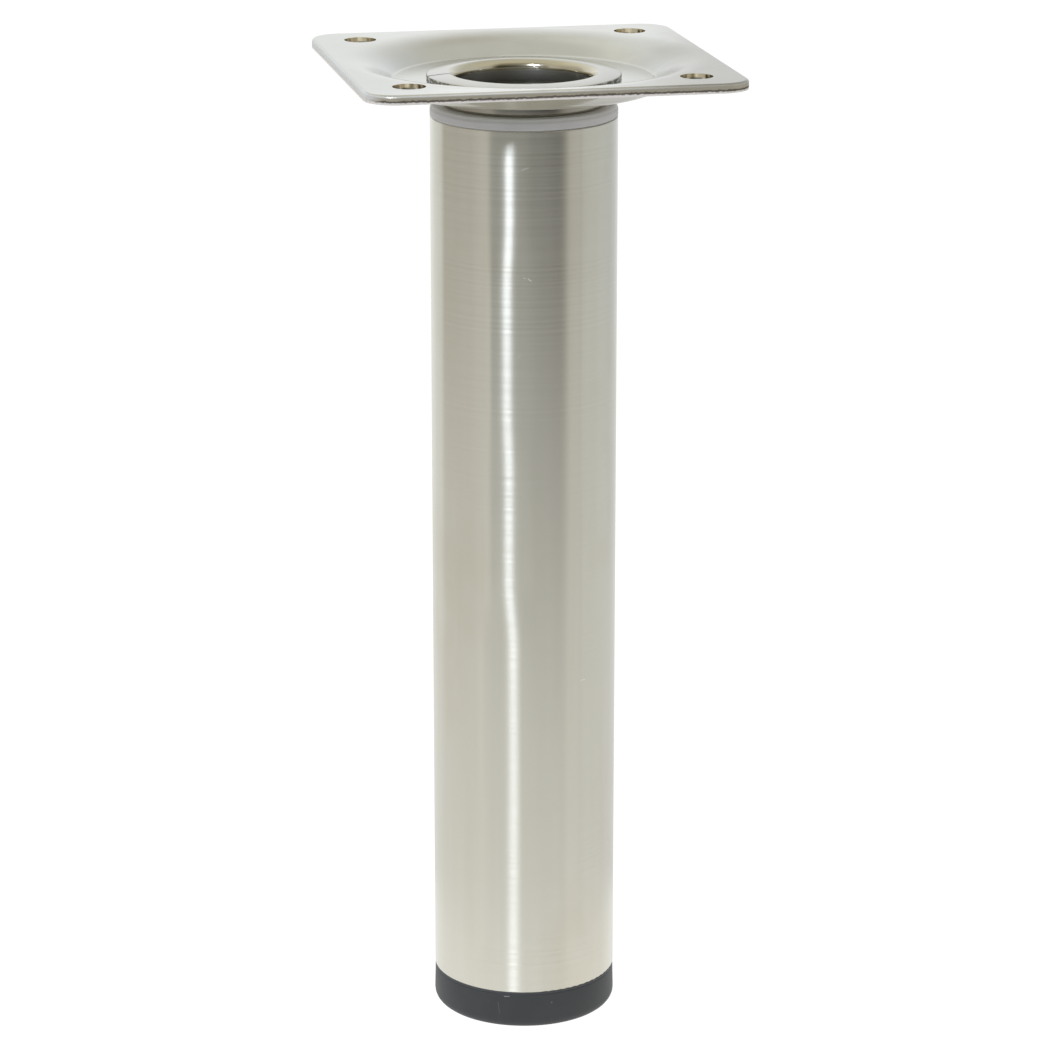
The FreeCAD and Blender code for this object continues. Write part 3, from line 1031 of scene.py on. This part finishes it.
@dataclass
class MountingHead:
    """The dished plate and the rolled sleeve that is clinched into it, in millimetres and degrees."""

    plate_side: float = 60.0
    plate_corner: float = 5.0
    plate_top: float = 160.0
    plate_sheet: float = 1.5
    hole_spacing: float = 45.0
    hole_radius: float = 2.6
    sheet: float = 0.8
    flange_radius: float = 15.5
    flange_under: float = 156.8
    flange_rise: float = 0.4
    flange_under_round: float = 0.1
    flange_top_round: float = 0.25
    bend: float = 0.7
    bead_radius: float = 13.15
    bead_top: float = 155.3
    bead_bottom: float = 152.7
    bead_round: float = 0.5
    bead_root_round: float = 0.15
    fold_round: float = 0.1
    shank_radius: float = 11.7
    shank_end: float = 130.7
    shank_end_round: float = 0.3
    seam: float = 0.3
    seam_bearing: float = 180.0
    thread: Thread = Thread(pitch=3.0, depth=0.6, low=132.0, high=152.2, run_out=1.5)
    inner_depth: float = 0.25
    thread_cell: float = 0.2
    skin: float = 0.1
    slack: float = 0.01

    @property
    def bore(self) -> float:
        """Give the radius of the sleeve's bore."""
        return self.shank_radius - self.sheet

    def plate(self) -> bpy.types.Object:
        """Dress the pressed plate."""
        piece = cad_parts[Node.PLATE.value]
        finish = PlatedSteel(
            half_side=0.5 * self.plate_side,
            corner=self.plate_corner,
            top=self.plate_top,
            sheet=self.plate_sheet,
            hole_offset=0.5 * self.hole_spacing,
            hole_radius=self.hole_radius,
        )
        finish.dress(piece)
        return piece

    def sleeve_section(self) -> tuple[Corner, ...]:
        """List the corners of the sleeve's section, up its outside and down its bore."""
        bore = self.bore
        fold = self.bead_radius - self.sheet
        fold_top = self.bead_top - self.sheet
        fold_bottom = self.bead_bottom + self.sheet
        neck = self.flange_under + self.flange_rise
        return (
            Corner(bore, self.shank_end),
            Corner(self.shank_radius, self.shank_end, self.shank_end_round),
            Corner(self.shank_radius, self.bead_bottom, self.bead_root_round),
            Corner(self.bead_radius, self.bead_bottom, self.bead_round),
            Corner(self.bead_radius, self.bead_top, self.bead_round),
            Corner(self.shank_radius, self.bead_top),
            Corner(self.shank_radius, neck, self.bend),
            Corner(self.flange_radius, self.flange_under, self.flange_under_round),
            Corner(self.flange_radius, self.flange_under + self.sheet, self.flange_top_round),
            Corner(bore, neck + self.sheet, self.bend + self.sheet),
            Corner(bore, fold_top, self.fold_round),
            Corner(fold, fold_top),
            Corner(fold, fold_bottom),
            Corner(bore, fold_bottom, self.fold_round),
        )

    def sleeve(self) -> bpy.types.Object:
        """Build the sleeve with its rolled thread."""
        turned = TurnedPiece("rolled_sleeve")
        turned.draw(self.sleeve_section())
        turned.divide(self.thread, self.thread_cell)
        turned.spin_split(math.radians(self.seam_bearing), self.seam / self.shank_radius)
        turned.roll(self.thread, beside(self.shank_radius, (-self.skin, self.slack)))
        inner_thread = replace(self.thread, depth=self.inner_depth)
        turned.roll(inner_thread, beside(self.bore, (-self.slack, self.skin)))
        piece = turned.make()
        finish = PlatedSleeve(
            flange=self.flange_radius,
            bore=self.bore,
            bead=self.bead_radius,
            bead_top=self.bead_top,
        )
        finish.dress(piece)
        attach(piece, Body.PLATE.value)
        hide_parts(Node.SLEEVE.value)
        return piece

    def pieces(self) -> Iterable[bpy.types.Object]:
        """Build and dress the head."""
        yield self.plate()
        yield self.sleeve()


@dataclass
class Leg:
    """The brushed tube and the pale bush in its upper end."""

    def pieces(self) -> Iterable[bpy.types.Object]:
        """Dress the tube and the bush."""
        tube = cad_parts[Node.TUBE.value]
        BrushedStainless().dress(tube)
        yield tube
        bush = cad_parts[Node.TOP_BUSH.value]
        PALE_PLASTIC.dress(bush)
        yield bush


@dataclass
class LevellingFoot:
    """The black foot, its threaded stem and the bush that takes it, in millimetres."""

    pad_radius: float = PAD_RADIUS
    pad_taper: float = 0.15
    pad_height: float = 6.1
    bottom_round: float = 1.8
    top_round: float = 0.1
    stem_radius: float = 10.0
    stem_top: float = 26.1
    stem_lead: float = 0.8
    core_radius: float = 6.0
    core_floor: float = 3.5
    core_round: float = 0.3
    thread: Thread = Thread(pitch=2.5, depth=0.75, low=6.6, high=25.7, run_out=0.9, flat=0.9)
    thread_cell: float = 0.18
    skin: float = 0.9
    slack: float = 0.01

    def bush(self) -> bpy.types.Object:
        """Dress the bush in the tube's lower end."""
        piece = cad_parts[Node.BOTTOM_BUSH.value]
        BLACK_BUSH.dress(piece)
        return piece

    def foot(self) -> bpy.types.Object:
        """Build the foot with the thread on its stem."""
        turned = TurnedPiece("threaded_foot")
        turned.draw((
            Corner(0.0, 0.0),
            Corner(self.pad_radius, 0.0, self.bottom_round),
            Corner(self.pad_radius - self.pad_taper, self.pad_height, self.top_round),
            Corner(self.stem_radius, self.pad_height),
            Corner(self.stem_radius, self.stem_top, self.stem_lead),
            Corner(self.core_radius, self.stem_top, self.core_round),
            Corner(self.core_radius, self.core_floor),
            Corner(0.0, self.core_floor),
        ))
        turned.divide(self.thread, self.thread_cell)
        turned.spin_whole()
        turned.roll(self.thread, beside(self.stem_radius, (-self.skin, self.slack)))
        piece = turned.make()
        BLACK_PLASTIC.dress(piece)
        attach(piece, Body.FOOT.value)
        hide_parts(Node.FOOT.value)
        return piece

    def pieces(self) -> Iterable[bpy.types.Object]:
        """Build and dress the foot."""
        yield self.bush()
        yield self.foot()


@dataclass(frozen=True)
class PaleFloor(Finish):
    """White paper under the leg that keeps a faint shadow."""

    name: str = "pale_floor"
    glow: float = 0.84
    shaded: float = 0.24
    paper: float = 0.80

    def fill(self, graph: Graph) -> None:
        """Mix a lit and a glowing white for what sees the floor directly."""
        emitted = graph.value("ShaderNodeEmission", None, {"Color": WHITE, "Strength": self.glow})
        shade = graph.value("ShaderNodeBsdfDiffuse", None, {"Color": grey(self.shaded)})
        direct = graph.value("ShaderNodeAddShader", None, {0: emitted, 1: shade})
        bounced = graph.value("ShaderNodeBsdfDiffuse", None, {"Color": grey(self.paper)})
        sockets = {0: graph.seen_directly(), 1: bounced, 2: direct}
        surface = graph.value("ShaderNodeMixShader", None, sockets)
        graph.node("ShaderNodeOutputMaterial", None, {"Surface": surface})


@dataclass(frozen=True, kw_only=True)
class TentPanels(Finish):
    """Panels of a light tent, lighter and darker round the leg, which metal shows.

    Each ring of colours goes by the bearing from the camera in degrees. The spans are in metres.
    """

    view_bearing: float
    name: str = "tent_panels"
    paper_span: Span = (0.18, 0.64)
    wall_span: Span = (0.45, 3.2)
    crown_span: Span = (1.2, 2.5)
    aloft_span: Span = (0.1, 0.2)
    crown: Colour = opaque(0.67, 0.655, 0.58)
    paper: Stops = (
        (-180.0, grey(0.93)),
        (-60.0, grey(0.94)),
        (0.0, grey(0.97)),
        (40.0, grey(0.97)),
        (66.0, grey(0.87)),
        (150.0, opaque(0.85, 0.85, 0.86)),
        (180.0, grey(0.93)),
    )
    panels: Stops = (
        (-180.0, opaque(0.98, 0.99, 0.98)),
        (-156.0, opaque(0.97, 0.99, 0.99)),
        (-122.0, opaque(0.78, 0.79, 0.80)),
        (-114.0, opaque(0.50, 0.48, 0.44)),
        (-70.0, opaque(0.48, 0.46, 0.43)),
        (-46.0, opaque(0.61, 0.60, 0.58)),
        (-38.0, opaque(0.24, 0.25, 0.25)),
        (0.0, opaque(0.17, 0.18, 0.18)),
        (12.0, opaque(0.09, 0.10, 0.10)),
        (44.0, grey(0.01)),
        (50.0, opaque(0.14, 0.13, 0.11)),
        (58.0, opaque(0.50, 0.48, 0.46)),
        (71.0, opaque(0.56, 0.55, 0.55)),
        (73.5, grey(0.47)),
        (76.0, opaque(0.60, 0.61, 0.61)),
        (92.0, opaque(0.65, 0.66, 0.66)),
        (130.0, opaque(0.63, 0.655, 0.68)),
        (152.0, opaque(0.74, 0.765, 0.79)),
        (180.0, opaque(0.98, 0.99, 0.98)),
    )
    overhead: Stops = (
        (-180.0, opaque(0.70, 0.69, 0.61)),
        (-165.0, opaque(0.84, 0.83, 0.75)),
        (-120.0, opaque(0.84, 0.82, 0.74)),
        (-60.0, opaque(0.66, 0.62, 0.50)),
        (-30.0, opaque(0.42, 0.38, 0.29)),
        (44.0, opaque(0.38, 0.345, 0.26)),
        (70.0, opaque(0.74, 0.70, 0.58)),
        (120.0, opaque(0.66, 0.65, 0.58)),
        (150.0, opaque(0.65, 0.64, 0.57)),
        (170.0, opaque(0.58, 0.55, 0.47)),
        (180.0, opaque(0.70, 0.69, 0.61)),
    )

    def ring(self, point: Value, colours: Stops) -> Value:
        """Run colours round the leg.

        Args:
            point: The point on the tent.
            colours: Bearing from the camera in degrees and colour, in order.

        Returns:
            The colour at the point.
        """
        graph = point.graph
        turn = math.radians(QUARTER_CIRCLE - self.view_bearing)
        turned = graph.value("ShaderNodeMapping", None, {"Vector": point, "Rotation": (0.0, 0.0, turn)})
        share = graph.value("ShaderNodeTexGradient", {"gradient_type": "RADIAL"}, {0: turned}, 1)
        stops = [((bearing + HALF_CIRCLE) / (2.0 * HALF_CIRCLE), colour) for bearing, colour in colours]
        return graph.value("ShaderNodeValToRGB", {"stops": stops}, {"Fac": share})

    def fill(self, graph: Graph) -> None:
        """Blend the floor near the leg, the panels round it and the cloth above."""
        point = graph.position()
        east, north, up = point.split()
        reach = length(east, north)
        sides = self.ring(point, self.panels)
        upright = up.rise(self.wall_span).mix(sides, self.ring(point, self.overhead))
        walls = reach.fall(self.crown_span).mix(upright, self.crown)
        round_leg = up.rise(self.aloft_span).mix(sides, walls)
        close = reach.fall(self.paper_span) * up.fall(self.aloft_span)
        colour = close.mix(round_leg, self.ring(point, self.paper))
        emitted = graph.value("ShaderNodeEmission", None, {"Color": colour, "Strength": 1.0})
        graph.node("ShaderNodeOutputMaterial", None, {"Surface": emitted})


class Light(Enum):
    """Colours of the lamps."""

    COOL = (0.77, 0.84, 1.0)
    WARM = (1.0, 0.98, 0.95)


@dataclass(frozen=True, kw_only=True)
class Lamp:
    """A soft box, in metres and degrees from the camera's bearing."""

    name: str
    bearing: float
    distance: float
    height: float
    width: float
    length: float
    power: float
    light: Light = Light.WARM
    mirrored: bool = False
    aim: tuple[float, float, float] = (0.0, 0.0, 0.10)

    def make(self, view_bearing: float) -> None:
        """Hang the soft box and aim it at the leg.

        Args:
            view_bearing: The camera's bearing in degrees.
        """
        data = bpy.data.lights.new(self.name, "AREA")
        data.shape = "RECTANGLE"
        data.size = self.width
        data.size_y = self.length
        data.energy = self.power
        data.color = self.light.value
        lamp = link(self.name, data)
        lamp.visible_camera = False
        lamp.visible_glossy = self.mirrored
        place = place_round(view_bearing + self.bearing, self.distance, self.height)
        lamp.location = place
        lamp.rotation_euler = (Vector(self.aim) - place).to_track_quat("-Z", "Y").to_euler()


LAMPS = (
    Lamp(
        name="key_strip", bearing=-19.0, distance=1.35, height=0.91, width=0.23, length=0.18, power=15.5,
        light=Light.COOL, mirrored=True,
    ),
    Lamp(name="top_box", bearing=175.0, distance=0.35, height=2.40, width=1.80, length=1.80, power=16.0),
    Lamp(name="right_fill", bearing=78.0, distance=1.70, height=0.70, width=0.80, length=1.00, power=7.5),
    Lamp(name="left_fill", bearing=-100.0, distance=1.70, height=0.70, width=0.80, length=1.00, power=4.5),
)


@dataclass
class Studio:
    """Floor, light tent, lamps, background and camera, in metres and degrees.

    The plate stays where it is when the leg is screwed out, so the floor lies just under the lowest
    place that the foot reaches.
    """

    view_bearing: float = -11.8
    view_distance: float = 0.6143
    view_height: float = 0.2624
    view_pitch: float = 16.29
    view_aside: float = -0.016
    view_clip: Span = (0.01, 50.0)
    lens: float = 133.9
    sensor: float = 36.0
    round_steps: int = 96
    floor_radius: float = 8.0
    floor_level: float = -0.0222
    tent_inner: float = 0.05
    tent_radius: float = 2.6
    tent_height: float = 3.0
    tent_lift: float = 0.004
    tent_top_hole: float = 0.02
    ambient: float = 0.45

    def floor(self) -> None:
        """Lay the floor."""
        mesh = bmesh.new()
        lowered = Matrix.Translation((0.0, 0.0, self.floor_level))
        bmesh.ops.create_circle(
            mesh, cap_ends=True, radius=self.floor_radius, segments=self.round_steps, matrix=lowered
        )
        self._set("floor", mesh, PaleFloor())

    def tent(self) -> None:
        """Stand the light tent round the leg, for metal alone to show."""
        mesh = bmesh.new()
        section = (
            (self.tent_inner, self.tent_lift),
            (self.tent_radius, self.tent_lift),
            (self.tent_radius, self.tent_height),
            (self.tent_top_hole, self.tent_height),
        )
        points = [mesh.verts.new((radius, 0.0, height)) for radius, height in section]
        for start, end in zip(points, points[1:]):
            mesh.edges.new((start, end))
        spin(mesh, FULL_TURN, self.round_steps, closed=True)
        tent = self._set("light_tent", mesh, TentPanels(view_bearing=self.view_bearing))
        tent.visible_camera = False
        tent.visible_diffuse = False
        tent.visible_shadow = False
        tent.visible_volume_scatter = False

    @staticmethod
    def _set(name: str, mesh: bmesh.types.BMesh, finish: Finish) -> bpy.types.Object:
        """Make a piece of the stage.

        Args:
            name: Its name.
            mesh: Its shape, which is freed.
            finish: Its finish.

        Returns:
            The stage's piece.
        """
        piece = stand(name, mesh)
        finish.dress(piece)
        return piece

    def background(self) -> None:
        """Fill the background with white and the room with soft light."""
        world = bpy.data.worlds.new("soft_white")
        world.use_nodes = True
        bpy.context.scene.world = world
        graph = Graph(world.node_tree)
        sockets = {"Color": WHITE, "Strength": graph.seen_directly().raised(self.ambient)}
        light = graph.value("ShaderNodeBackground", None, sockets)
        graph.node("ShaderNodeOutputWorld", None, {"Surface": light})

    def camera(self) -> None:
        """Set the camera at the photograph's angle."""
        data = bpy.data.cameras.new("photo_camera")
        data.lens = self.lens
        data.sensor_width = self.sensor
        data.clip_start, data.clip_end = self.view_clip
        camera = link("photo_camera", data)
        camera.location = place_round(self.view_bearing, self.view_distance, self.view_height)
        tilt = math.radians(QUARTER_CIRCLE - self.view_pitch)
        camera.rotation_euler = (tilt, 0.0, math.radians(self.view_bearing + self.view_aside))
        bpy.context.scene.camera = camera

    def build(self) -> None:
        """Set the whole stage."""
        self.floor()
        self.tent()
        self.background()
        for lamp in LAMPS:
            lamp.make(self.view_bearing)
        self.camera()
        bpy.context.scene.view_settings.view_transform = "Standard"


def main() -> None:
    """Build and dress the leg, then set it in the studio."""
    logging.basicConfig(level=logging.INFO, format="%(name)s: %(message)s")
    for assembly in (MountingHead(), Leg(), LevellingFoot()):
        for piece in assembly.pieces():
            LOG.info("%s: %s, %d faces", type(assembly).__name__, piece.name, len(piece.data.polygons))
    Studio().build()


if __name__ == "__main__":
    main()
